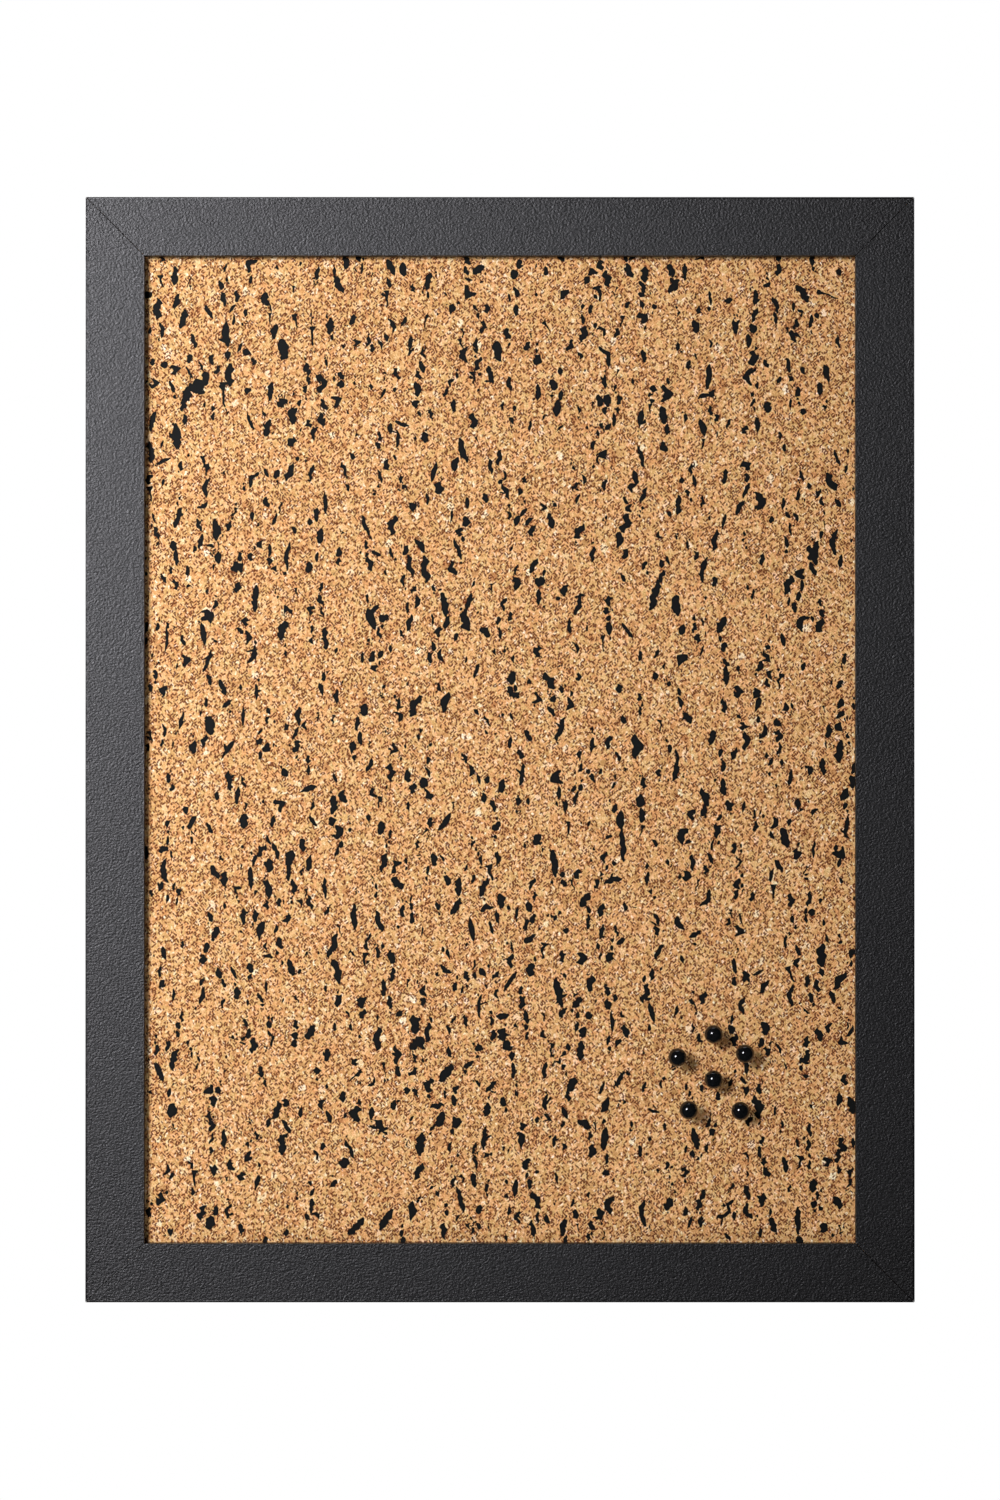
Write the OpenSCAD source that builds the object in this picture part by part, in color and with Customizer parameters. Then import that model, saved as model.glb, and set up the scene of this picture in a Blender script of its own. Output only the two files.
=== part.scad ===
// Framed cork bulletin board with ball-headed pins, hung on a wall by two D-rings.
// Millimetres: X to the right, Z up, and the cork faces -Y.
// The origin is the middle of the board, on the plane of the wall that the pads rest against.

/* [Board] */
// Overall width
board_w = 450; // [400:10:900]
// Overall height
board_h = 600; // [500:10:1200]

/* [Frame] */
// Width of the frame's flat front face
face_w = 32; // [31:1:45]
// Depth of the frame from front to back
frame_d = 20; // [20:1:26]
// Thickness of the lip that covers the edge of the panel
lip_t = 6; // [5:0.5:8]
// Width of the rebate behind the lip
rebate_w = 8; // [7:0.5:9]
// Radius of the eased outer arris
arris_r = 1.2; // [0.6:0.2:2]
// Thickness of the foil wrap
wrap_t = 0.3; // [0.2:0.05:0.4]
// Width of the wrap's edge turned onto the back
wrap_turn = 4; // [3:0.5:4]
// Width of the glue line in each mitre
mitre_gap = 0.2; // [0.05:0.05:0.3]

/* [Panel] */
// Gap between the panel and the rebate wall
panel_gap = 1; // [0.5:0.25:2]
// Thickness of the cork sheet
cork_t = 0.5; // [0.4:0.1:1]
// Thickness of the black underlay
underlay_t = 0.3; // [0.2:0.1:0.5]
// Thickness of the softboard core
core_t = 7.7; // [6.5:0.1:8]
// Thickness of the backing board
backing_t = 2; // [1.5:0.5:2]

/* [Pins] */
// Diameter of the ball head
ball_d = 10; // [7:0.5:11]
// Gap between the cork and the ball
ball_gap = 8; // [5:0.5:9]
// Diameter of the needle
needle_d = 1; // [0.8:0.1:1.2]
// Depth of the needle in the board
needle_in = 7; // [5:0.5:7]
// Radial clearance of the needle in its hole
needle_clear = 0.05; // [0.03:0.01:0.1]

/* [Hangers] */
// Distance from the top edge to the D-rings' hinge line
hanger_drop = 100; // [85:5:150]
// Radius of the D-ring's bow, to the middle of the wire
ring_r = 9; // [8.5:0.5:9.5]
// Radius of the wire in the bow
bow_wire_r = 1.1; // [1.1:0.05:1.2]
// Radius of the wire in the straight bar
bar_wire_r = 1; // [0.8:0.05:1]
// Width of the strap
strap_w = 10; // [8:1:11]
// Thickness of the strap
strap_t = 1; // [0.8:0.1:1]
// Distance from the hinge line to the screw
screw_drop = 18; // [16:1:24]

/* [Wall pads] */
// Thickness of a wall pad, which is the gap between frame and wall
pad_t = 5; // [5:0.5:8]
// Diameter of a wall pad
pad_d = 14; // [10:1:15]
// Distance from a wall pad to the top or bottom edge
pad_inset = 45; // [40:5:60]

/* [Hidden] */
$fn = 64;
cut = 1; // how far a cutting solid runs past a face

// Planes from the wall to the front
back_y = -pad_t;
front_y = back_y - frame_d;
cork_y = front_y + lip_t;
underlay_y = cork_y + cork_t;
core_y = underlay_y + underlay_t;
backing_y = core_y + core_t;
panel_back_y = backing_y + backing_t;

// Frame
rebate_z = face_w - rebate_w; // from the outer edge to the rebate wall
stile_x = board_w / 2 - rebate_z / 2; // middle of a stile's back face
panel_w = board_w - 2 * (rebate_z + panel_gap);
panel_h = board_h - 2 * (rebate_z + panel_gap);

// Mitre nails
nail_leg = 3.5;
nail_t = 0.5;
nail_depth = 10;
nail_spots = [8, 17]; // from the outer edges

// Retaining points
point_w = 6;
point_l = 14;
point_t = 0.5;
point_step = 140; // largest distance between neighbours

// Hangers
hanger_z = board_h / 2 - hanger_drop;
bar_clear = 0.08; // radial clearance of the bar in the knuckle
knuckle_lift = 0.3; // the knuckle's gap above the frame
knuckle_in_r = bar_wire_r + bar_clear;
knuckle_out_r = knuckle_in_r + strap_t;
hinge_y = back_y + knuckle_lift + knuckle_out_r;
ring_over = 10; // degrees that the bow runs past the bar at each end
strap_tail = screw_drop + 2;
screw_hole_d = 3.6;
screw_d = 3;
screw_head_d = 6.6;
screw_head_t = 1.8;
screw_l = 11;
screw_tip = 3;
cross_l = 3.8; // drive recess
cross_w = 0.8;
cross_depth = 1;

// Wall pad
pad_chamfer = 1.2;

// Pins, across and up from the middle of the board
PIN_TOP = [115.5, -154];
PIN_UPPER_LEFT = [96, -166.5];
PIN_UPPER_RIGHT = [132.5, -164.5];
PIN_MIDDLE = [115.5, -178.5];
PIN_LOWER_LEFT = [102, -195];
PIN_LOWER_RIGHT = [130, -195.5];
PINS = [PIN_TOP, PIN_UPPER_LEFT, PIN_UPPER_RIGHT, PIN_MIDDLE, PIN_LOWER_LEFT, PIN_LOWER_RIGHT];
neck_gap = 3; // bare needle between the cork and the neck
neck_d = 2.4;
neck_top_d = 4.4;
neck_in_ball = 1;
needle_in_ball = 4;
needle_tip = 2;
ball_back_y = cork_y - ball_gap;
neck_y = ball_back_y - neck_in_ball;
needle_y = ball_back_y - needle_in_ball;
tip_y = cork_y + needle_in - needle_tip; // where the needle starts to taper
hole_d = needle_d + 2 * needle_clear;

TOP = 0;
RIGHT = 1;
BOTTOM = 2;
LEFT = 3;

function side_length(side) = side % 2 == 0 ? board_w : board_h;
function side_reach(side) = side_length(side + 1) / 2;

// ---- helpers ----

// Moves a child drawn at the top middle of the board, with z = 0 on the edge, to one side
module on_side(side) rotate([0, 90 * side, 0]) translate([0, 0, side_reach(side)]) children();

// Puts a child drawn at the top right corner at all four corners
module at_corners()
    for (x = [0, 1], z = [0, 1])
        mirror([x, 0, 0]) mirror([0, 0, z]) translate([board_w / 2, 0, board_h / 2]) children();

// Stands a plate drawn in X and Z on the plane y, with its thickness towards the wall
module plate(y, t) translate([0, y + t, 0]) rotate([90, 0, 0]) linear_extrude(t) children();

// A round bar along Y from the plane y, towards the wall
module rod(y, h, d1, d2) translate([0, y, 0]) rotate([-90, 0, 0]) cylinder(h = h, d1 = d1, d2 = d2);

// ---- frame ----

// Frame section in Y and Z with the outer edge at z = 0, set in by e on the wrapped faces
module blank_section(e) {
    difference() {
        translate([front_y + e, e - face_w]) square([frame_d - e, face_w - 2 * e]);
        translate([front_y - cut, -arris_r]) square([arris_r + cut, arris_r + cut]);
    }
    translate([front_y + arris_r, -arris_r]) circle(arris_r - e);
}

module rebate_section()
    translate([cork_y, -face_w - cut]) square([frame_d, rebate_w + cut]);

module core_section() difference() {
    blank_section(wrap_t);
    rebate_section();
    translate([back_y - wrap_t, -wrap_turn]) square([wrap_t + cut, wrap_turn + cut]);
}

module wrap_section() difference() {
    blank_section(0);
    rebate_section();
    core_section();
}

// A length of a section, mitred at both ends
module mitred(side) on_side(side) intersection() {
    rotate([90, 0, 90]) linear_extrude(side_length(side), center = true) children();
    half = side_length(side) / 2 - mitre_gap / sqrt(2);
    reach = face_w + cut;
    plate(front_y - cut, frame_d + 2 * cut)
        polygon([[-half - cut, cut], [half + cut, cut], [half - reach, -reach], [reach - half, -reach]]);
}

module frame_bar(side) color("#8a6b4c") difference() {
    mitred(side) core_section();
    v_nail_set();
    point_set(side);
    if (side % 2 == 1) screw_pilots();
}

module frame_wrap(side) color("#3a3a3a") mitred(side) wrap_section();

module v_nail_set() at_corners() for (s = nail_spots)
    translate([-s, 0, -s]) plate(back_y - nail_depth, nail_depth) {
        square([nail_leg, nail_t]);
        square([nail_t, nail_leg]);
    }

// One flat point, half in the rebate wall and half over the backing board
module retaining_point() plate(panel_back_y, point_t) {
    polygon([
        [-point_w / 2, -point_l / 2], [point_w / 2, -point_l / 2],
        [point_w / 2, point_l / 4], [0, point_l / 2], [-point_w / 2, point_l / 4]
    ]);
}

module point_set(side) {
    span = side_length(side) - 2 * rebate_z;
    count = ceil(span / point_step);
    for (i = [0 : count - 1])
        on_side(side) translate([span * ((i + 0.5) / count - 0.5), 0, -rebate_z]) retaining_point();
}

module v_nails() color("slategray") v_nail_set();

module retaining_points() color("gray") for (side = [TOP : LEFT]) point_set(side);

// ---- panel ----

module panel_layer(y, t) plate(y, t) square([panel_w, panel_h], center = true);

// Holes that the needles have made, from the front of the cork
module needle_holes() for (spot = PINS)
    translate([spot[0], 0, spot[1]]) rod(cork_y - cut, needle_in + 2 * cut, hole_d, hole_d);

module cork_sheet() color("#c2946a") difference() {
    panel_layer(cork_y, cork_t);
    needle_holes();
}

module black_underlay() color("#1c1a17") difference() {
    panel_layer(underlay_y, underlay_t);
    needle_holes();
}

module softboard_core() color("#a58a63") difference() {
    panel_layer(core_y, core_t);
    needle_holes();
}

module backing_board() color("#6e4a2c") panel_layer(backing_y, backing_t);

// ---- hangers ----

module at_hanger(x_sign) translate([x_sign * stile_x, 0, hanger_z]) children();

module hanger_strap(x_sign) color("silver") at_hanger(x_sign) difference() {
    union() {
        plate(back_y, strap_t) {
            translate([-strap_w / 2, -strap_tail]) square([strap_w, strap_tail]);
            translate([0, -strap_tail]) circle(d = strap_w);
        }
        translate([0, hinge_y, 0]) rotate([0, 90, 0])
            cylinder(h = strap_w, r = knuckle_out_r, center = true);
    }
    translate([0, hinge_y, 0]) rotate([0, 90, 0])
        cylinder(h = strap_w + 2 * cut, r = knuckle_in_r, center = true);
    translate([0, 0, -screw_drop]) rod(back_y - cut, strap_t + 2 * cut, screw_hole_d, screw_hole_d);
}

// D-ring hanging down from its bar
module hanger_ring(x_sign) color("gainsboro") at_hanger(x_sign) translate([0, hinge_y, 0]) {
    rotate([0, 90, 0]) cylinder(h = 2 * ring_r, r = bar_wire_r, center = true);
    rotate([90, 0, 0]) rotate([0, 0, 180 - ring_over])
        rotate_extrude(angle = 180 + 2 * ring_over) translate([ring_r, 0]) circle(bow_wire_r, $fn = 32);
}

// Wood screw shank and tip, from the strap into the stile
module screw_shank() {
    rod(back_y + strap_t - screw_l, screw_l, screw_d, screw_d);
    rod(back_y + strap_t - screw_l - screw_tip, screw_tip, 0, screw_d);
}

module hanger_screw() {
    screw_shank();
    difference() {
        rod(back_y + strap_t, screw_head_t, screw_head_d, screw_head_d * 0.75);
        for (turn = [0, 90]) translate([0, back_y + strap_t + screw_head_t, 0]) rotate([0, turn, 0])
            cube([cross_l, 2 * cross_depth, cross_w], center = true);
    }
}

module hanger_screws() color("goldenrod") for (x_sign = [-1, 1])
    at_hanger(x_sign) translate([0, 0, -screw_drop]) hanger_screw();

module screw_pilots() for (x_sign = [-1, 1])
    at_hanger(x_sign) translate([0, 0, -screw_drop]) screw_shank();

// ---- wall pads ----

module wall_pad(x_sign, z_sign) color("#26262a")
    translate([x_sign * stile_x, 0, z_sign * (board_h / 2 - pad_inset)]) {
        rod(back_y, pad_t - pad_chamfer, pad_d, pad_d);
        rod(-pad_chamfer, pad_chamfer, pad_d, pad_d - 2 * pad_chamfer);
    }

// ---- pins ----

module needle() {
    rod(needle_y, tip_y - needle_y, needle_d, needle_d);
    rod(tip_y, needle_tip, needle_d, 0);
}

module pin_head(spot) color("#161616") translate([spot[0], 0, spot[1]]) difference() {
    union() {
        translate([0, ball_back_y - ball_d / 2, 0]) sphere(d = ball_d);
        rod(neck_y, cork_y - neck_gap - neck_y, neck_top_d, neck_d);
    }
    needle();
}

module pin_needle(spot) color("silver") translate([spot[0], 0, spot[1]]) needle();

// ---- nodes ----

frame_bar(TOP);  // top_rail
frame_bar(RIGHT);  // right_stile
frame_bar(BOTTOM);  // bottom_rail
frame_bar(LEFT);  // left_stile
frame_wrap(TOP);  // top_wrap
frame_wrap(RIGHT);  // right_wrap
frame_wrap(BOTTOM);  // bottom_wrap
frame_wrap(LEFT);  // left_wrap
cork_sheet();
black_underlay();
softboard_core();
backing_board();
v_nails();
retaining_points();
hanger_strap(-1);  // hanger_strap_left
hanger_strap(1);  // hanger_strap_right
hanger_ring(-1);  // hanger_ring_left
hanger_ring(1);  // hanger_ring_right
hanger_screws();
wall_pad(-1, 1);  // wall_pad_top_left
wall_pad(1, 1);  // wall_pad_top_right
wall_pad(-1, -1);  // wall_pad_bottom_left
wall_pad(1, -1);  // wall_pad_bottom_right
pin_head(PIN_TOP);  // pin_top_head
pin_needle(PIN_TOP);  // pin_top_needle
pin_head(PIN_UPPER_LEFT);  // pin_upper_left_head
pin_needle(PIN_UPPER_LEFT);  // pin_upper_left_needle
pin_head(PIN_UPPER_RIGHT);  // pin_upper_right_head
pin_needle(PIN_UPPER_RIGHT);  // pin_upper_right_needle
pin_head(PIN_MIDDLE);  // pin_middle_head
pin_needle(PIN_MIDDLE);  // pin_middle_needle
pin_head(PIN_LOWER_LEFT);  // pin_lower_left_head
pin_needle(PIN_LOWER_LEFT);  // pin_lower_left_needle
pin_head(PIN_LOWER_RIGHT);  // pin_lower_right_head
pin_needle(PIN_LOWER_RIGHT);  // pin_lower_right_needle
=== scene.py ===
"""Looks of the framed cork bulletin board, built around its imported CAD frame. Metres."""
import math
import random

import bmesh
import bpy
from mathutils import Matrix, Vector
from mathutils.geometry import delaunay_2d_cdt


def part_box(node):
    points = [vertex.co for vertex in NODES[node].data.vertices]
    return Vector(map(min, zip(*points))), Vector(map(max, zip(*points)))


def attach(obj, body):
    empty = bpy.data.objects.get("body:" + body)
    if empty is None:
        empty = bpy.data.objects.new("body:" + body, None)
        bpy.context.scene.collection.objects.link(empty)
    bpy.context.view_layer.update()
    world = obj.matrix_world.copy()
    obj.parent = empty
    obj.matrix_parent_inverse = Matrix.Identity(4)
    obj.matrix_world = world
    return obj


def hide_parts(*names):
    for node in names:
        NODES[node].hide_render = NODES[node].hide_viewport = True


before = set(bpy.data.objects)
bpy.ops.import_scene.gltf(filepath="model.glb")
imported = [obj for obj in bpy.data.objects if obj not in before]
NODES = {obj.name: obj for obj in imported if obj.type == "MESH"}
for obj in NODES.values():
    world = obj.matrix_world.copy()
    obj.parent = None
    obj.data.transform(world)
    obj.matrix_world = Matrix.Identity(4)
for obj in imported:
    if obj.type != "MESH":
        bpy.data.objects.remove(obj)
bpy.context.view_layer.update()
MM = 0.001
WHITE = (1.0, 1.0, 1.0, 1.0)
SIDES = ("top", "right", "bottom", "left")
RAILS = ("top_rail", "right_stile", "bottom_rail", "left_stile")
PINS = ("top", "upper_left", "upper_right", "middle", "lower_left", "lower_right")

# Planes and edges that the pieces are placed by
frame_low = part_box("top_wrap")[0]
cork_low, cork_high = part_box("cork_sheet")
FACE_Y = frame_low.y
CORK_Y = cork_low.y
SIGHT_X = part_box("right_wrap")[0].x
SIGHT_Z = frame_low.z


# ---------------------------------------------------------------- materials

class Shader:
    """A material being built: add() makes a node and fills or links its inputs."""

    def __init__(self, name, **surface):
        self.material = bpy.data.materials.new(name)
        self.material.use_nodes = True
        self.tree = self.material.node_tree
        self.surface = self.tree.nodes["Principled BSDF"]
        self.fill(self.surface, surface)
        self.place = self.add("TexCoord").outputs["Object"]

    def fill(self, node, inputs):
        """Keys are socket names with _ for a space, or socket numbers."""
        for key, value in inputs.items():
            socket = node.inputs[key.replace("_", " ") if isinstance(key, str) else key]
            if isinstance(value, bpy.types.NodeSocket):
                self.tree.links.new(value, socket)
            else:
                socket.default_value = value

    def add(self, kind, inputs=None, **options):
        node = self.tree.nodes.new("ShaderNode" + kind)
        for name, value in options.items():
            setattr(node, name, value)
        self.fill(node, inputs or {})
        return node

    def math(self, operation, a, b):
        return self.add("Math", {0: a, 1: b}, operation=operation).outputs[0]

    def blend(self, a, b, share):
        """share of a, and the rest of b."""
        return self.math("ADD", self.math("MULTIPLY", a, share), self.math("MULTIPLY", b, 1 - share))

    def choose(self, factor, a, b):
        """The number a where factor is 0, and b where it is 1."""
        return self.add("Mix", {0: factor, 2: a, 3: b}, data_type="FLOAT").outputs[0]

    def stretch(self, value, low, high, to_low=0.0, to_high=1.0):
        """value, taken from low..high to to_low..to_high and held there."""
        inputs = {0: value, 1: low, 2: high, 3: to_low, 4: to_high}
        return self.add("MapRange", inputs, clamp=True).outputs[0]

    def scaled(self, x, y, z):
        """Object coordinates with each axis multiplied."""
        inputs = {0: self.place, 1: (x, y, z)}
        return self.add("VectorMath", inputs, operation="MULTIPLY").outputs[0]

    def turned(self, angle, across, along):
        """The board's own plane turned by angle, in units of across by along metres."""
        inputs = {"Vector": self.place, "Rotation": (0, angle, 0), "Scale": (across, across, along)}
        turned = self.add("Mapping", inputs, vector_type="TEXTURE").outputs[0]
        x, _, z = self.add("SeparateXYZ", {0: turned}).outputs
        return self.add("CombineXYZ", {0: x, 1: z}).outputs[0]

    def noise(self, size, detail=2.0, where=None, rough=0.5):
        """Noise with features about size metres across."""
        vector = where or self.place
        inputs = {"Vector": vector, "Scale": 1 / size, "Detail": detail, "Roughness": rough}
        return self.add("TexNoise", inputs).outputs["Fac"]

    def cells(self, size, where):
        """Three random numbers for each Voronoi cell, the cells about size metres across."""
        return self.split(self.add("TexVoronoi", {"Vector": where, "Scale": 1 / size}).outputs["Color"])

    def split(self, colour):
        return self.add("SeparateColor", {0: colour}).outputs

    def ramp(self, value, stops):
        node = self.add("ValToRGB", {0: value})
        band = node.color_ramp.elements
        while len(band) < len(stops):
            band.new(1.0)
        for element, (position, colour) in zip(band, stops):
            element.position = position
            element.color = (*colour, 1.0)
        return node.outputs[0]

    def mix(self, factor, a, b, blend="MIX"):
        inputs = {0: factor, 6: a, 7: b}
        return self.add("Mix", inputs, data_type="RGBA", blend_type=blend).outputs[2]

    def finish(self, colour, roughness=None, height=None, depth=0.0, strength=1.0):
        """Feeds the surface; depth is how deep the bump's full height is, in metres."""
        self.fill(self.surface, {"Base Color": colour})
        if roughness is not None:
            self.fill(self.surface, {"Roughness": roughness})
        if height is not None:
            bump = self.add("Bump", {"Height": height, "Distance": depth, "Strength": strength})
            self.fill(self.surface, {"Normal": bump.outputs[0]})
        return self.material


# Granules of two sizes, how far their edges wander, and the share of coarse ones
GRANULE = 1.2 * MM
COARSE_GRANULE = 2.6 * MM
WANDER = 1.1 * MM
COARSE_SHARE = 0.14
TANS = [
    (0.0, (0.48, 0.225, 0.073)), (0.25, (0.66, 0.345, 0.118)), (0.6, (0.76, 0.430, 0.158)),
    (0.9, (0.84, 0.530, 0.240)), (1.0, (0.97, 0.76, 0.48)),
]
TINTS = [(0.0, (1.03, 0.92, 0.90)), (0.5, (1.0, 1.0, 1.0)), (1.0, (0.95, 1.03, 0.97))]
# Fibres in the granules: width, length, and the two ways they lean in radians
FIBRE_WIDTH = 0.45 * MM
FIBRE_LENGTH = 1.3 * MM
FIBRE_LEANS = (0.75, -0.65)
FIBRE_SHADES = [(0.32, (0.56, 0.45, 0.30)), (0.5, (1.0, 1.0, 1.0)), (0.68, (1.28, 1.45, 1.95))]
# Dark pores: lean in radians, grid across and along in millimetres, share of the grid that has one
PORES = ((0.85, 1.3, 3.2, 0.45), (-0.7, 1.3, 3.0, 0.45), (0.1, 1.4, 2.6, 0.3))
PORE_COLOUR = (0.11, 0.016, 0.001, 1.0)


def granules(s):
    """Tone and colour of the granules, and a random number for each small one."""
    stretched = s.scaled(1.0, 1.0, 0.8)
    wobble = s.add("TexNoise", {"Vector": stretched, "Scale": 1 / GRANULE, "Detail": 2.0})
    bend = {0: wobble.outputs["Color"], 1: (WANDER,) * 3, 2: stretched}
    where = s.add("VectorMath", bend, operation="MULTIPLY_ADD").outputs[0]
    small = s.cells(GRANULE, where)
    coarse = s.cells(COARSE_GRANULE, where)
    is_coarse = s.math("GREATER_THAN", coarse[0], 1 - COARSE_SHARE)
    tone = s.choose(is_coarse, small[1], coarse[1])
    colour = s.mix(1.0, s.ramp(tone, TANS), s.ramp(coarse[2], TINTS), "MULTIPLY")
    return tone, colour, small[0]


def fibres(s, pick):
    """Fibres that lean one way in half of the granules, and the other way in the rest."""
    leans = [s.noise(1.0, 2.0, s.turned(angle, FIBRE_WIDTH, FIBRE_LENGTH), 0.6) for angle in FIBRE_LEANS]
    return s.choose(s.math("GREATER_THAN", pick, 0.5), *leans)


def pores(s):
    """Short slanting dashes between the granules: 1 inside a dash and 0 outside."""
    darkest = None
    for lean, across, along, share in PORES:
        where = s.turned(lean, across * MM, along * MM)
        dash = s.add("TexVoronoi", {"Vector": where, "Scale": 1.0}, voronoi_dimensions="2D")
        here = s.math("LESS_THAN", s.split(dash.outputs["Color"])[0], share)
        inside = s.stretch(dash.outputs["Distance"], 0.24, 0.34, 1.0, 0.0)
        mark = s.math("MULTIPLY", inside, here)
        darkest = mark if darkest is None else s.math("MAXIMUM", darkest, mark)
    return darkest


def cork_material():
    """Pressed cork granules in tan, pink and cream, with short dark marks between them."""
    s = Shader("cork", IOR=1.35)
    tone, colour, pick = granules(s)
    fibre = fibres(s, pick)
    colour = s.mix(1.0, colour, s.ramp(fibre, FIBRE_SHADES), "MULTIPLY")
    pore = pores(s)
    colour = s.mix(s.math("MULTIPLY", pore, 0.92), colour, PORE_COLOUR)
    height = s.math("SUBTRACT", s.math("MULTIPLY", tone, 0.3), s.math("MULTIPLY", pore, 0.9))
    height = s.math("ADD", height, s.math("MULTIPLY", fibre, 0.7))
    return s.finish(colour, s.stretch(fibre, 0.3, 0.7, 0.95, 0.75), height, 0.2 * MM, 0.8)


def foil_material(name):
    """Near-black printed foil with a fine pebbled matt grain."""
    s = Shader(name, IOR=1.50)
    pebble = s.noise(1.15 * MM, 2.0, s.scaled(0.9, 1.0, 1.15), 0.6)
    dust = s.noise(1.2 * MM, 1.0)
    cloud = s.noise(45 * MM, 3.0)
    dark, pale = (0.0019, 0.0019, 0.0020), (0.0038, 0.0037, 0.0039)
    base = s.ramp(s.blend(pebble, cloud, 0.6), [(0.3, dark), (0.7, pale)])
    rough = s.math("ADD", s.stretch(dust, 0.3, 0.7, 0.38, 0.48), s.stretch(cloud, 0.3, 0.7, -0.01, 0.01))
    return s.finish(base, rough, s.blend(pebble, dust, 0.8), 0.42 * MM, 1.0)


def fibreboard_material(name, along):
    """Raw sawn fibreboard: fine fibres, and faint saw marks across the length."""
    s = Shader(name, IOR=1.4)
    fibre_scale = [0.5 if axis == along else 1.0 for axis in range(3)]
    saw_scale = [1.0 if axis == along else 0.03 for axis in range(3)]
    fibre = s.noise(0.8 * MM, 4.0, s.scaled(*fibre_scale), 0.65)
    cloud = s.noise(18 * MM, 2.0)
    saw = s.noise(0.7 * MM, 1.0, s.scaled(*saw_scale))
    browns = [(0.3, (0.20, 0.125, 0.070)), (0.5, (0.33, 0.225, 0.135)), (0.72, (0.47, 0.34, 0.22))]
    colour = s.ramp(s.blend(fibre, cloud, 0.65), browns)
    colour = s.mix(1.0, colour, s.stretch(saw, 0.35, 0.65, 0.93, 1.05), "MULTIPLY")
    height = s.math("ADD", fibre, s.math("MULTIPLY", saw, 0.6))
    return s.finish(colour, s.stretch(fibre, 0.3, 0.7, 0.78, 0.92), height, 0.08 * MM, 0.6)


def hardboard_material():
    """Dark brown hardboard with the pressed mesh pattern on its back."""
    s = Shader("hardboard", IOR=1.45)
    fibre = s.noise(1.4 * MM, 4.0, None, 0.7)
    cloud = s.noise(60 * MM, 3.0)
    browns = [(0.32, (0.085, 0.043, 0.020)), (0.5, (0.150, 0.080, 0.040)), (0.7, (0.235, 0.135, 0.072))]
    colour = s.ramp(s.blend(fibre, cloud, 0.82), browns)
    mesh_pitch = 1.3 * MM
    across, _, up = s.add("SeparateXYZ", {0: s.place}).outputs
    waves = [s.add("Math", {0: s.math("MULTIPLY", axis, 2 * math.pi / mesh_pitch)}, operation="SINE")
             for axis in (across, up)]
    mesh = s.math("ADD", *[wave.outputs[0] for wave in waves])
    colour = s.mix(1.0, colour, s.stretch(mesh, -2.0, 2.0, 0.86, 1.1), "MULTIPLY")
    height = s.math("ADD", s.stretch(mesh, -2.0, 2.0), fibre)
    return s.finish(colour, s.stretch(fibre, 0.3, 0.7, 0.55, 0.72), height, 0.12 * MM, 0.6)


def softboard_material():
    """Pale, loose wood-fibre softboard."""
    s = Shader("softboard")
    fibre = s.noise(1.6 * MM, 4.0, None, 0.7)
    colour = s.ramp(fibre, [(0.3, (0.27, 0.18, 0.095)), (0.7, (0.52, 0.38, 0.22))])
    return s.finish(colour, s.stretch(fibre, 0.3, 0.7, 0.85, 0.97), fibre, 0.3 * MM, 0.7)


def underlay_material():
    """Smooth black paper with a trace of green, and a little fibre."""
    s = Shader("black_paper", Specular_IOR_Level=0.1)
    fibre = s.noise(1.2 * MM, 3.0)
    colour = s.ramp(fibre, [(0.3, (0.0028, 0.0032, 0.0029)), (0.7, (0.0056, 0.0064, 0.0058))])
    return s.finish(colour, s.stretch(fibre, 0.3, 0.7, 0.55, 0.68), fibre, 0.03 * MM, 0.4)


def plated_material(name, pale, dark):
    """Zinc-plated steel: brushed, with the plating's cloudy patches and a few dull marks."""
    s = Shader(name, Metallic=1.0)
    cloud = s.noise(3 * MM, 3.0)
    brushed = s.noise(0.35 * MM, 2.0, s.scaled(1.0, 1.0, 0.12))
    colour = s.ramp(s.blend(cloud, brushed, 0.7), [(0.3, dark), (0.65, pale)])
    rough = s.math("ADD", s.stretch(brushed, 0.3, 0.7, 0.24, 0.36), s.stretch(cloud, 0.4, 0.7, 0.0, 0.1))
    return s.finish(colour, rough, brushed, 0.02 * MM, 0.3)


def rubber_material():
    """Dull black rubber with moulding dust in its grain."""
    s = Shader("pad_rubber", IOR=1.5)
    grain = s.noise(0.5 * MM, 3.0)
    dust = s.noise(4 * MM, 3.0)
    blacks = [(0.35, (0.012, 0.012, 0.013)), (0.7, (0.040, 0.040, 0.042))]
    colour = s.ramp(s.blend(grain, dust, 0.4), blacks)
    return s.finish(colour, s.stretch(dust, 0.3, 0.7, 0.6, 0.8), grain, 0.04 * MM, 0.5)


def pin_material():
    """Polished black plastic with faint swirl marks."""
    s = Shader("pin_black", IOR=1.5)
    swirl = s.noise(1.8 * MM, 3.0)
    fine = s.noise(0.3 * MM, 2.0)
    colour = s.ramp(swirl, [(0.3, (0.0030, 0.0034, 0.0036)), (0.7, (0.0060, 0.0066, 0.0070))])
    return s.finish(colour, s.stretch(swirl, 0.35, 0.65, 0.05, 0.09), fine, 0.004 * MM, 0.3)


def floor_material():
    """Pale grey that glows a little, so that its far end isn't dark."""
    s = Shader("floor", Roughness=0.9, Emission_Strength=0.16)
    cloud = s.noise(0.25, 3.0)
    return s.finish(s.ramp(cloud, [(0.3, (0.80, 0.80, 0.80)), (0.7, (0.84, 0.84, 0.84))]))


# ---------------------------------------------------------------- helpers

def dress(names, material):
    """Gives CAD nodes a material."""
    for name in names:
        NODES[name].data.materials.clear()
        NODES[name].data.materials.append(material)


def soften(names, width, segments=2, angle=40):
    """Eases the hard edges of CAD nodes, after joining the corners that the file split."""
    for name in names:
        node = NODES[name]
        node.modifiers.new("join", "WELD").merge_threshold = 0.002 * MM
        bevel = node.modifiers.new("ease", "BEVEL")
        bevel.width, bevel.segments = width, segments
        bevel.limit_method, bevel.angle_limit = "ANGLE", math.radians(angle)


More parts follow.
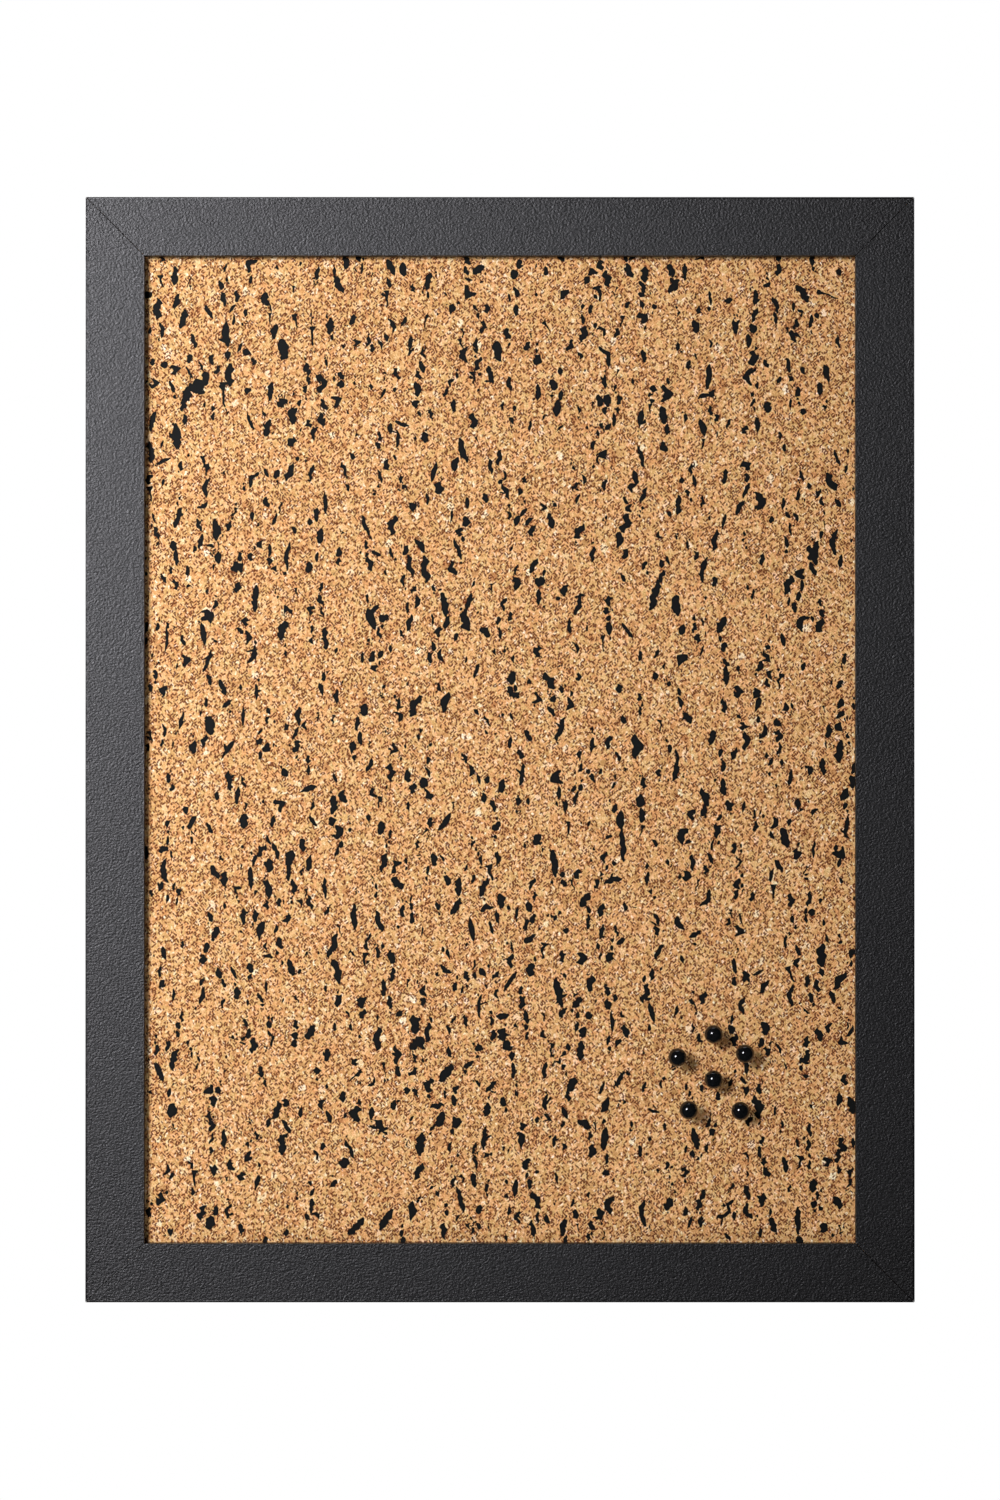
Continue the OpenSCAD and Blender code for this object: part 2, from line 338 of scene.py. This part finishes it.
def link(thing):
    """Puts an object into the scene."""
    bpy.context.scene.collection.objects.link(thing)
    return thing


def new_piece(name, mesh_source, material, body, slot, *replaced):
    mesh = bpy.data.meshes.new(name)
    mesh_source.to_mesh(mesh)
    mesh_source.free()
    mesh.materials.append(material)
    piece = link(bpy.data.objects.new(name, mesh))
    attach(piece, body)
    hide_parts(*replaced)
    return piece


# ---------------------------------------------------------------- cork

# The flecks that the eye picks out, in millimetres from the middle of the board:
# (across, up, length, width, lean of the top to the right in degrees, kind)
PROMINENT = [
    (-148.5, 226, 15, 4.5, -5, "leaf"), (-148.5, 214, 6, 4, 0, "drop"), (-119, 217.5, 12.5, 6, -3, "drop"),
    (-171, 193, 9, 5, 15, "shard"), (-165, 198, 10, 6, 60, "shard"), (-160.5, 202, 8, 4, 0, "shard"),
    (-169, 205, 8, 1.6, -30, "shard"), (-173, 187, 6, 3.5, 5, "shard"), (-150, 193, 14, 4, -2, "tee"),
    (-134.5, 263, 8, 4, 35, "hook"), (-59.5, 262.5, 9, 3.5, -25, "shard"), (-52.5, 261, 8, 3.5, -8, "shard"),
    (-11.5, 261, 7, 4.5, 55, "shard"), (-26, 239.5, 7, 4, 10, "drop"), (-17.5, 215, 9, 4, 5, "hook"),
    (-5, 204, 10, 3, -15, "shard"), (-45.5, 196, 9, 4, -10, "leaf"), (-97, 179.5, 8, 4, -12, "leaf"),
    (-20, 163, 14, 3.5, -18, "shard"), (-24, 155, 8, 3.5, 15, "shard"), (-36, 151, 12, 3, 15, "leaf"),
    (-160, 142, 11, 3, 0, "leaf"), (-175, 126, 12, 3, 20, "shard"), (-126.5, 175, 10, 3.5, 15, "shard"),
    (-153, 104.5, 7.5, 4, 0, "leaf"), (-143, 99.5, 8, 4.5, 65, "shard"), (-115, 105, 16, 2.4, 5, "hook"),
    (-49, 100, 12, 3, -12, "shard"), (-41, 98, 15, 4, -4, "shard"), (-71, 101, 8, 3.2, -18, "shard"),
    (53.5, 248, 9, 4.5, -15, "tee"), (77.5, 235, 7, 4.5, -40, "shard"), (45.5, 226, 9, 4, 15, "shard"),
    (100.5, 260, 9, 2.4, 0, "shard"), (113.5, 203, 14, 3, 5, "shard"), (54, 190, 7, 4, -12, "shard"),
    (59, 190, 7, 4, 4, "shard"), (57, 200, 8, 2.8, -4, "leaf"), (88.5, 182, 10, 4, -10, "shard"),
    (110, 175, 10, 4.5, -16, "leaf"), (138, 213, 9, 4, 5, "shard"), (137, 203, 10, 3.6, 5, "hook"),
    (177.5, 204, 12, 4, -12, "drop"), (128, 230, 9, 3.5, -12, "leaf"), (160, 225, 6, 5, 40, "shard"),
    (134, 154.5, 6, 4.5, -40, "shard"), (172.5, 107, 14, 4, 4, "shard"), (169, 107, 9, 3.6, -8, "shard"),
    (183, 113, 14, 3.4, 6, "hook"), (117, 114, 12, 3, 10, "shard"), (22, 91, 6, 5, 60, "shard"),
    (-133, 82, 15, 3, 4, "shard"), (-70, 71, 13, 5, -20, "leaf"), (-63.5, 71.5, 6, 4, 50, "shard"),
    (-182, 60, 14, 1.8, 3, "hook"), (-49.5, 69, 10, 3, 15, "leaf"), (-89, 29, 8, 3, 0, "leaf"),
    (-147, -17, 11, 3.2, -6, "shard"), (-42, -18, 6, 4.5, 0, "shard"), (-47.5, -21, 6, 3.6, 20, "shard"),
    (-89, -45, 8, 4, -5, "hook"), (-126, -76, 11, 4, -8, "leaf"), (-126, -63, 8, 4, 0, "shard"),
    (-135.5, -70, 12, 3, -2, "shard"), (-181, -66, 14, 3.4, -6, "hook"), (-56, -73, 8, 4.5, -45, "shard"),
    (-5, -67, 9, 4.5, -15, "tee"), (83.5, 84, 17, 4, 16, "shard"), (99.5, 48, 9, 5.5, 35, "drop"),
    (6.5, 39, 8, 4, 5, "shard"), (7, 31, 9, 4, -45, "shard"), (73.5, 1.5, 14, 6, 0, "leaf"),
    (59.5, 66, 8, 3.6, 0, "leaf"), (67, -52, 18, 3.4, -2, "shard"), (66, -38.5, 11, 4.6, 0, "leaf"),
    (33, -15, 8, 5, -10, "hook"), (29.5, -62, 15, 3.6, -6, "shard"), (184, -54.5, 7, 4.5, 60, "hook"),
    (-79, -198, 9, 5, 10, "shard"), (-119, -215, 11, 4, -5, "shard"), (-123, -196, 11, 3.4, 20, "hook"),
    (-166, -233, 9, 3.8, 0, "tee"), (-168.5, -226, 5, 2, -25, "shard"), (-84.5, -225, 6, 5, 30, "shard"),
    (-45, -160, 10, 5, 55, "shard"), (-24, -203, 7, 4, 40, "shard"), (-132, -236, 9, 3.2, 15, "drop"),
    (-22, -245, 14, 3, -15, "shard"), (-103, -154, 9, 4, 25, "shard"), (32, -132, 16, 4, -12, "shard"),
    (175.5, -112, 13, 5, 0, "shard"), (159, -134, 12, 2.6, 2, "hook"), (34.5, -260, 10, 4, 10, "shard"),
    (11.5, -213, 10, 4, 5, "drop"), (162, -256, 15, 3, 0, "shard"), (82.5, -143, 12, 3, -15, "leaf"),
    (61, -148, 12, 2.4, -4, "leaf"), (61, -248, 10, 4, 10, "hook"), (2, -155, 7, 5, 0, "shard"),
    (127.5, -158, 7, 3.4, 15, "shard"), (155, -226, 9, 3, -12, "shard"), (186, -215, 8, 3.4, -25, "shard"),
]
KINDS = ("shard", "leaf", "drop", "hook", "tee")
KIND_SHARES = (66, 9, 8, 12, 5)
SEED = 11
FLECK_COUNT = 1850
TRIES = 60  # for each fleck, to find a free place
COMPANION_SHARE = 0.36  # flecks put close to an earlier one
KEPT_CLEAR = 0.4  # radius kept free round a fleck, as a share of its length
PIN_CLEARANCE = 2.5 * MM
FLECK_CELL = 14 * MM  # cells that make it quick to look for neighbours
EDGE_MARGIN = 1 * MM
SPINE_STEP = 1.15 * MM
RELIEF_STEP = 2.6 * MM
RELIEF_HEIGHT = 0.09 * MM
RELIEF_MARGIN = 0.5 * MM  # the sheet stays flat this close to the frame and under it


def hold(value, edge):
    """Keeps a point clear of the sheet's cut edges."""
    return max(-edge + EDGE_MARGIN, min(edge - EDGE_MARGIN, value))


def half_width(kind, t):
    """Share of a fleck's half width at t, from 0 at its bottom to 1 at its top."""
    if kind == "leaf":
        return math.sin(math.pi * t) ** 0.75
    if kind == "drop":
        return math.sin(math.pi * t ** 1.6) ** 0.8
    if kind == "tee":
        return 0.25 + 0.3 * t + (0.45 if t > 0.8 else 0.0)
    return min(1.0, 0.28 + 3.2 * t, 0.28 + 3.2 * (1 - t))


def fleck_outline(rng, x, z, length, width, lean, kind):
    """An angular outline round a bent spine, as points (x, z), counter-clockwise."""
    steps = max(3, min(11, round(length / SPINE_STEP)))
    if kind == "hook":
        bend = width * (rng.uniform(0.4, 0.8) * rng.choice((-1, 1)))
    else:
        bend = width * rng.gauss(0, 0.14)
    sway = rng.gauss(0, 0.12) * width
    rough = 0.16 if kind in ("leaf", "drop") else 0.34
    left, right = [], []
    for i in range(steps + 1):
        t = i / steps
        middle = bend * math.sin(math.pi * t) + sway * math.sin(3 * math.pi * t)
        reach = width / 2 * half_width(kind, t)
        along = (t - 0.5) * length + rng.uniform(-0.25, 0.25) * length / steps
        left.append((middle - reach * rng.uniform(1 - rough, 1 + rough), along))
        edge = middle + reach * rng.uniform(1 - rough, 1 + rough)
        right.append((edge, along + rng.uniform(-0.35, 0.35) * MM))
    turn = math.radians(-lean)
    cos, sin = math.cos(turn), math.sin(turn)
    return [(hold(x + a * cos - b * sin, cork_high.x), hold(z + a * sin + b * cos, cork_high.z))
            for a, b in right + left[::-1]]


def random_fleck(rng):
    """Length, width, lean and kind of an ordinary fleck: a quarter are crumbs, the rest longer."""
    if rng.random() < 0.27:
        length = rng.uniform(1.4, 2.8) * MM
        width = length * rng.uniform(0.4, 0.8)
    else:
        size = rng.gauss(0, 1)
        length = min(14.0, 5.8 * math.exp(0.37 * size)) * MM
        width = min(4.6, 2.5 * math.exp(0.17 * size + 0.27 * rng.gauss(0, 1))) * MM
        width = min(width, 0.85 * length)
    lean = rng.uniform(-85, 85) if rng.random() < 0.1 else rng.gauss(2, 17)
    return length, width, lean, rng.choices(KINDS, KIND_SHARES)[0]


def branches(rng, x, z, length, width, lean):
    """What hangs on to a fleck: now and then a twig, and crumbs beside it."""
    found = []
    if length > 5 * MM and rng.random() < 0.35:
        t, side = rng.uniform(-0.4, 0.4), rng.choice((-1, 1))
        twig = rng.uniform(0.3, 0.6) * length, 0.5 * width, lean + side * rng.uniform(25, 75)
        found.append(fleck_outline(rng, x + side * 0.3 * width, z + t * length, *twig, "shard"))
    while rng.random() < 0.42:
        angle = rng.uniform(0, 2 * math.pi)
        size = rng.uniform(0.6, 1.5) * MM
        crumb_x = x + (0.75 * width + 0.7 * MM) * math.cos(angle)
        crumb_z = z + (0.55 * length + 0.7 * MM) * math.sin(angle)
        crumb = size, 0.7 * size, rng.uniform(-60, 60)
        found.append(fleck_outline(rng, crumb_x, crumb_z, *crumb, "shard"))
    return found


class Crowd:
    """Keeps discs apart by looking only at neighbouring cells."""

    def __init__(self):
        self.cells = {}

    def cell(self, x, z):
        return int(x // FLECK_CELL), int(z // FLECK_CELL)

    def near(self, x, z):
        cx, cz = self.cell(x, z)
        around = [(cx + i, cz + j) for i in (-1, 0, 1) for j in (-1, 0, 1)]
        return [disc for cell in around for disc in self.cells.get(cell, ())]

    def fits(self, x, z, r):
        return all((x - a) ** 2 + (z - b) ** 2 > (r + c) ** 2 for a, b, c in self.near(x, z))

    def put(self, x, z, r):
        self.cells.setdefault(self.cell(x, z), []).append((x, z, r))


class Flecks:
    """The outlines made so far, where they lie, and the room that they take."""

    def __init__(self, rng):
        self.rng = rng
        self.crowd = Crowd()
        self.spots = []
        self.outlines = []

    def put(self, x, z, length, width, lean, kind):
        self.crowd.put(x, z, KEPT_CLEAR * length)
        self.spots.append((x, z, length))
        self.outlines.append(fleck_outline(self.rng, x, z, length, width, lean, kind))
        self.outlines += branches(self.rng, x, z, length, width, lean)

    def guess(self, length):
        """A place for a fleck, close to an earlier one or anywhere on the visible cork."""
        rng = self.rng
        if rng.random() >= COMPANION_SHARE:
            return rng.uniform(-SIGHT_X, SIGHT_X), rng.uniform(-SIGHT_Z, SIGHT_Z)
        near_x, near_z, near_length = rng.choice(self.spots)
        angle = rng.choice((-1, 1)) * math.pi / 2 + rng.gauss(0, 0.6)
        reach = 0.5 * (near_length + length) + rng.uniform(0.2, 1.4) * MM
        return near_x + reach * math.cos(angle) * 0.6, near_z + reach * math.sin(angle)

    def free_place(self, length):
        """A guess that is on the sheet and clear of the others, or None after many."""
        for _ in range(TRIES):
            x, z = self.guess(length)
            inside = abs(x) < SIGHT_X + EDGE_MARGIN and abs(z) < SIGHT_Z + EDGE_MARGIN
            if inside and self.crowd.fits(x, z, KEPT_CLEAR * length):
                return x, z
        return None


def scatter_flecks(rng):
    """Outlines of the prominent flecks and of the ordinary ones between them."""
    flecks = Flecks(rng)
    for pin in PINS:
        flecks.crowd.put(*needle_place(pin), PIN_CLEARANCE)
    for across, up, length, width, lean, kind in PROMINENT:
        flecks.put(across * MM, up * MM, length * MM, width * MM, lean, kind)
    for _ in range(FLECK_COUNT):
        length, width, lean, kind = random_fleck(rng)
        place = flecks.free_place(length)
        if place:
            flecks.put(*place, length, width, lean, kind)
    return flecks.outlines


def needle_place(pin):
    """Where a pin's needle goes in, as (x, z)."""
    low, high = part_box(f"pin_{pin}_needle")
    return (low.x + high.x) / 2, (low.z + high.z) / 2


def pin_prick(x, z, radius=0.6 * MM, points=10):
    """Round hole where a needle goes in."""
    return [(x + radius * math.cos(a), z + radius * math.sin(a))
            for a in (2 * math.pi * i / points for i in range(points))]


def loops_of(outlines):
    """Points and edges of closed outlines, one after another."""
    points, edges = [], []
    for outline in outlines:
        start, count = len(points), len(outline)
        points += outline
        edges += [(start + i, start + (i + 1) % count) for i in range(count)]
    return points, edges


def triangulate(points, edges):
    """Triangles of the sheet that can be reached from its first corner without crossing an edge."""
    spots = [Vector(point) for point in points]
    places, drawn, triangles, _, sources, _ = delaunay_2d_cdt(spots, edges, [], 0, 0)
    walls = {tuple(sorted(edge)) for edge, source in zip(drawn, sources) if source}
    beside = {}
    for number, (a, b, c) in enumerate(triangles):
        for edge in ((a, b), (b, c), (c, a)):
            beside.setdefault(tuple(sorted(edge)), []).append(number)
    front = [next(i for i, t in enumerate(triangles) if 0 in t)]
    kept = set(front)
    while front:
        a, b, c = triangles[front.pop()]
        for edge in (tuple(sorted(e)) for e in ((a, b), (b, c), (c, a))):
            fresh = [n for n in beside[edge] if edge not in walls and n not in kept]
            kept.update(fresh)
            front += fresh
    return places, [triangles[i] for i in sorted(kept)]


def relief_points(rng):
    """Loose points over the cork that shows, one somewhere in each square of a grid."""
    columns, rows = int(2 * SIGHT_X / RELIEF_STEP), int(2 * SIGHT_Z / RELIEF_STEP)
    squares = [(i, j) for i in range(columns) for j in range(rows)]
    loose = [(i + rng.uniform(0.1, 0.9), j + rng.uniform(0.1, 0.9)) for i, j in squares]
    return [(i * RELIEF_STEP - SIGHT_X, j * RELIEF_STEP - SIGHT_Z) for i, j in loose]


def add_front(shape, rng, places, triangles):
    """The cork's face, with each point lifted a little where the face shows."""
    front = {}
    for i in sorted({i for t in triangles for i in t}):
        x, z = places[i]
        seen = abs(x) < SIGHT_X - RELIEF_MARGIN and abs(z) < SIGHT_Z - RELIEF_MARGIN
        lift = rng.uniform(0, RELIEF_HEIGHT) if seen else 0.0
        front[i] = shape.verts.new((x, CORK_Y - lift, z))
    for triangle in triangles:
        shape.faces.new([front[i] for i in triangle]).smooth = True


def add_back(shape):
    """The walls of the holes and the edge, and a flat back with the same rims."""
    rim = [edge for edge in shape.edges if edge.is_boundary]
    rim_verts = sorted({v for edge in rim for v in edge.verts}, key=lambda v: (v.co.z, v.co.x))
    number = {v: i for i, v in enumerate(rim_verts)}
    back = [shape.verts.new((v.co.x, cork_high.y, v.co.z)) for v in rim_verts]
    loops = [edge.link_loops[0] for edge in rim]
    walls = [(loop.vert, loop.link_loop_next.vert) for loop in loops]
    for edge, (a, b) in zip(rim, walls):
        shape.faces.new((b, a, back[number[a]], back[number[b]]))
        edge.smooth = False
    flat = [(v.co.x, v.co.z) for v in rim_verts]
    _, triangles = triangulate(flat, [(number[a], number[b]) for a, b in walls])
    for a, b, c in triangles:
        shape.faces.new((back[a], back[c], back[b]))


def make_cork():
    """The cork sheet: a relief of granules in front, and a real hole through it for each fleck."""
    rng = random.Random(SEED)
    left, low, right, high = cork_low.x, cork_low.z, cork_high.x, cork_high.z
    corners = [(left, low), (right, low), (right, high), (left, high)]
    pricks = [pin_prick(*needle_place(pin)) for pin in PINS]
    points, edges = loops_of([corners] + scatter_flecks(rng) + pricks)
    places, triangles = triangulate(points + relief_points(rng), edges)
    shape = bmesh.new()
    add_front(shape, rng, places, triangles)
    add_back(shape)
    shape.normal_update()
    return new_piece("cork", shape, cork_material(), "board", "cork", "cork_sheet")


# ---------------------------------------------------------------- pins

def lathe(profile, centre, segments=48):
    """A turned shape about Y: profile holds (radius, y) from the front tip to the back."""
    shape = bmesh.new()
    turn = [2 * math.pi * i / segments for i in range(segments)]
    rings = []
    for radius, y in profile:
        if radius == 0:
            rings.append([shape.verts.new((centre.x, y, centre.z))])
            continue
        places = [(centre.x + radius * math.cos(a), y, centre.z + radius * math.sin(a)) for a in turn]
        rings.append([shape.verts.new(place) for place in places])
    for ring, after in zip(rings, rings[1:]):
        for i in range(segments):
            j = i + 1
            corners = [ring[i % len(ring)], ring[j % len(ring)], after[j % len(after)], after[i % len(after)]]
            shape.faces.new(list(dict.fromkeys(corners))).smooth = True
    return shape


BALL_STEPS = 40
FILLET_STEPS = 8
NECK_RADIUS = 1.2 * MM
ROOT_RADIUS = 2.1 * MM  # where the fillet meets the ball
SOCKET_DEPTH = 2 * MM  # how far the needle's socket goes into the neck


def pin_profile(radius, ball_y, end_y, needle):
    """Half section of a pin's head, from the ball's tip over the fillet and the neck to the socket."""
    end = math.pi - math.asin(ROOT_RADIUS / radius)
    arc = [end * i / BALL_STEPS for i in range(1, BALL_STEPS + 1)]
    profile = [(0.0, ball_y - radius)]
    profile += [(radius * math.sin(a), ball_y - radius * math.cos(a)) for a in arc]
    join = profile[-1][1]
    for i in range(1, FILLET_STEPS + 1):
        t = i / FILLET_STEPS
        narrow = (NECK_RADIUS - ROOT_RADIUS) * math.sin(t * math.pi / 2) ** 0.8
        profile.append((ROOT_RADIUS + narrow, join + (end_y - 0.3 * MM - join) * t))
    profile += [(NECK_RADIUS - 0.15 * MM, end_y - 0.08 * MM), (NECK_RADIUS - 0.4 * MM, end_y)]
    return profile + [(needle, end_y), (needle, end_y - SOCKET_DEPTH), (0.0, end_y - SOCKET_DEPTH)]


def make_pin_head(pin, material):
    """A moulded ball that runs into its neck through a small fillet, closed round the needle."""
    low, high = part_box(f"pin_{pin}_head")
    needle_low, needle_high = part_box(f"pin_{pin}_needle")
    radius = (high.x - low.x) / 2
    centre = Vector(((low.x + high.x) / 2, low.y + radius, (low.z + high.z) / 2))
    profile = pin_profile(radius, centre.y, high.y, (needle_high.x - needle_low.x) / 2)
    shape = lathe(profile, centre)
    return new_piece(f"{pin}_ball", shape, material, f"pin_{pin}", "pin_plastic", f"pin_{pin}_head")


# ---------------------------------------------------------------- stage

def make_floor():
    """A pale floor below the board, which ends where the front view would begin to show it."""
    half, front, back, z = 1.6, -2.4, 0.5, -0.62
    corners = [(-half, front, z), (half, front, z), (half, back, z), (-half, back, z)]
    mesh = bpy.data.meshes.new("floor")
    mesh.from_pydata(corners, [], [(0, 1, 2, 3)])
    mesh.materials.append(floor_material())
    floor = link(bpy.data.objects.new("floor", mesh))
    floor.visible_glossy = False


LIGHT_COLOUR = (1.0, 0.985, 1.045)


def add_light(name, place, aim, watts, size, spread=180):
    """A round studio lamp at place that faces aim; a small spread, in degrees, narrows its beam."""
    data = bpy.data.lights.new(name, "AREA")
    data.shape, data.size, data.energy = "DISK", size, watts
    data.spread = math.radians(spread)
    data.color = LIGHT_COLOUR
    light = link(bpy.data.objects.new(name, data))
    light.location = place
    light.visible_camera = False
    light.rotation_euler = (Vector(aim) - Vector(place)).to_track_quat("-Z", "Y").to_euler()


def make_world():
    """White where the camera looks past the board, and a dim even sky for everything else."""
    world = bpy.data.worlds.new("studio")
    world.use_nodes = True
    bpy.context.scene.world = world
    nodes, links = world.node_tree.nodes, world.node_tree.links
    sky = nodes["Background"]
    sky.inputs["Color"].default_value = WHITE
    sky.inputs["Strength"].default_value = 0.012
    white = nodes.new("ShaderNodeBackground")
    white.inputs["Color"].default_value = WHITE
    seen = nodes.new("ShaderNodeLightPath")
    choose = nodes.new("ShaderNodeMixShader")
    links.new(seen.outputs["Is Camera Ray"], choose.inputs[0])
    links.new(sky.outputs[0], choose.inputs[1])
    links.new(white.outputs[0], choose.inputs[2])
    links.new(choose.outputs[0], nodes["World Output"].inputs["Surface"])


def make_camera():
    """Straight on to the board, from a little below its middle."""
    distance, drop, view_height, sensor = 2.2, 0.0063, 0.8138, 36.0
    aim = Vector((0, FACE_Y, -0.3 * MM))
    data = bpy.data.cameras.new("camera")
    data.sensor_fit, data.sensor_height = "VERTICAL", sensor
    data.lens = sensor * distance / view_height
    data.clip_start = 0.01
    camera = link(bpy.data.objects.new("camera", data))
    camera.location = (0, FACE_Y - distance, -drop)
    camera.rotation_euler = (aim - camera.location).to_track_quat("-Z", "Y").to_euler()
    bpy.context.scene.camera = camera


def dress_frame():
    """Foil on each wrap and raw board on each moulding, with the saw marks across its length."""
    x_axis, z_axis = 0, 2
    for side, rail in zip(SIDES, RAILS):
        wrap = f"{side}_wrap"
        soften([wrap], 0.14 * MM, 2, 35)
        dress([wrap], foil_material(f"foil_{side}"))
        along = x_axis if side in ("top", "bottom") else z_axis
        dress([rail], fibreboard_material(f"fibreboard_{side}", along))


def dress_hardware():
    """Zinc on the steel pieces, yellow zinc on the screws, and rubber on the pads."""
    zinc = plated_material("zinc", (0.60, 0.61, 0.63), (0.42, 0.43, 0.45))
    yellow = plated_material("yellow_zinc", (0.66, 0.52, 0.28), (0.50, 0.36, 0.17))
    needles = [f"pin_{pin}_needle" for pin in PINS]
    straps = ["hanger_strap_left", "hanger_strap_right"]
    dress(["v_nails", "retaining_points", "hanger_ring_left", "hanger_ring_right"] + straps + needles, zinc)
    dress(["hanger_screws"], yellow)
    soften(straps + ["hanger_screws"], 0.15 * MM)
    pads = [f"wall_pad_{place}" for place in ("top_left", "top_right", "bottom_left", "bottom_right")]
    dress(pads, rubber_material())
    soften(pads, 0.4 * MM, 3, 20)


make_world()
make_camera()
make_floor()
add_light("key", (-1.6, -2.89, 0.88), (-0.6, 0, 0.23), 12.9, 1.3, 42.6)
add_light("back", (-0.9, 1.9, 0.9), (0, 0, 0), 30, 1.2)
add_light("back_right", (1.9, 0.9, 0.4), (0, 0, 0), 22, 1.2)
add_light("overhead", (0, 0.6, 2.2), (0, 0.3, 0), 22, 2.0)
dress_frame()
dress_hardware()
dress(["black_underlay"], underlay_material())
dress(["softboard_core"], softboard_material())
dress(["backing_board"], hardboard_material())
make_cork()
black = pin_material()
for pin in PINS:
    make_pin_head(pin, black)

bpy.context.scene.view_settings.view_transform = "Standard"
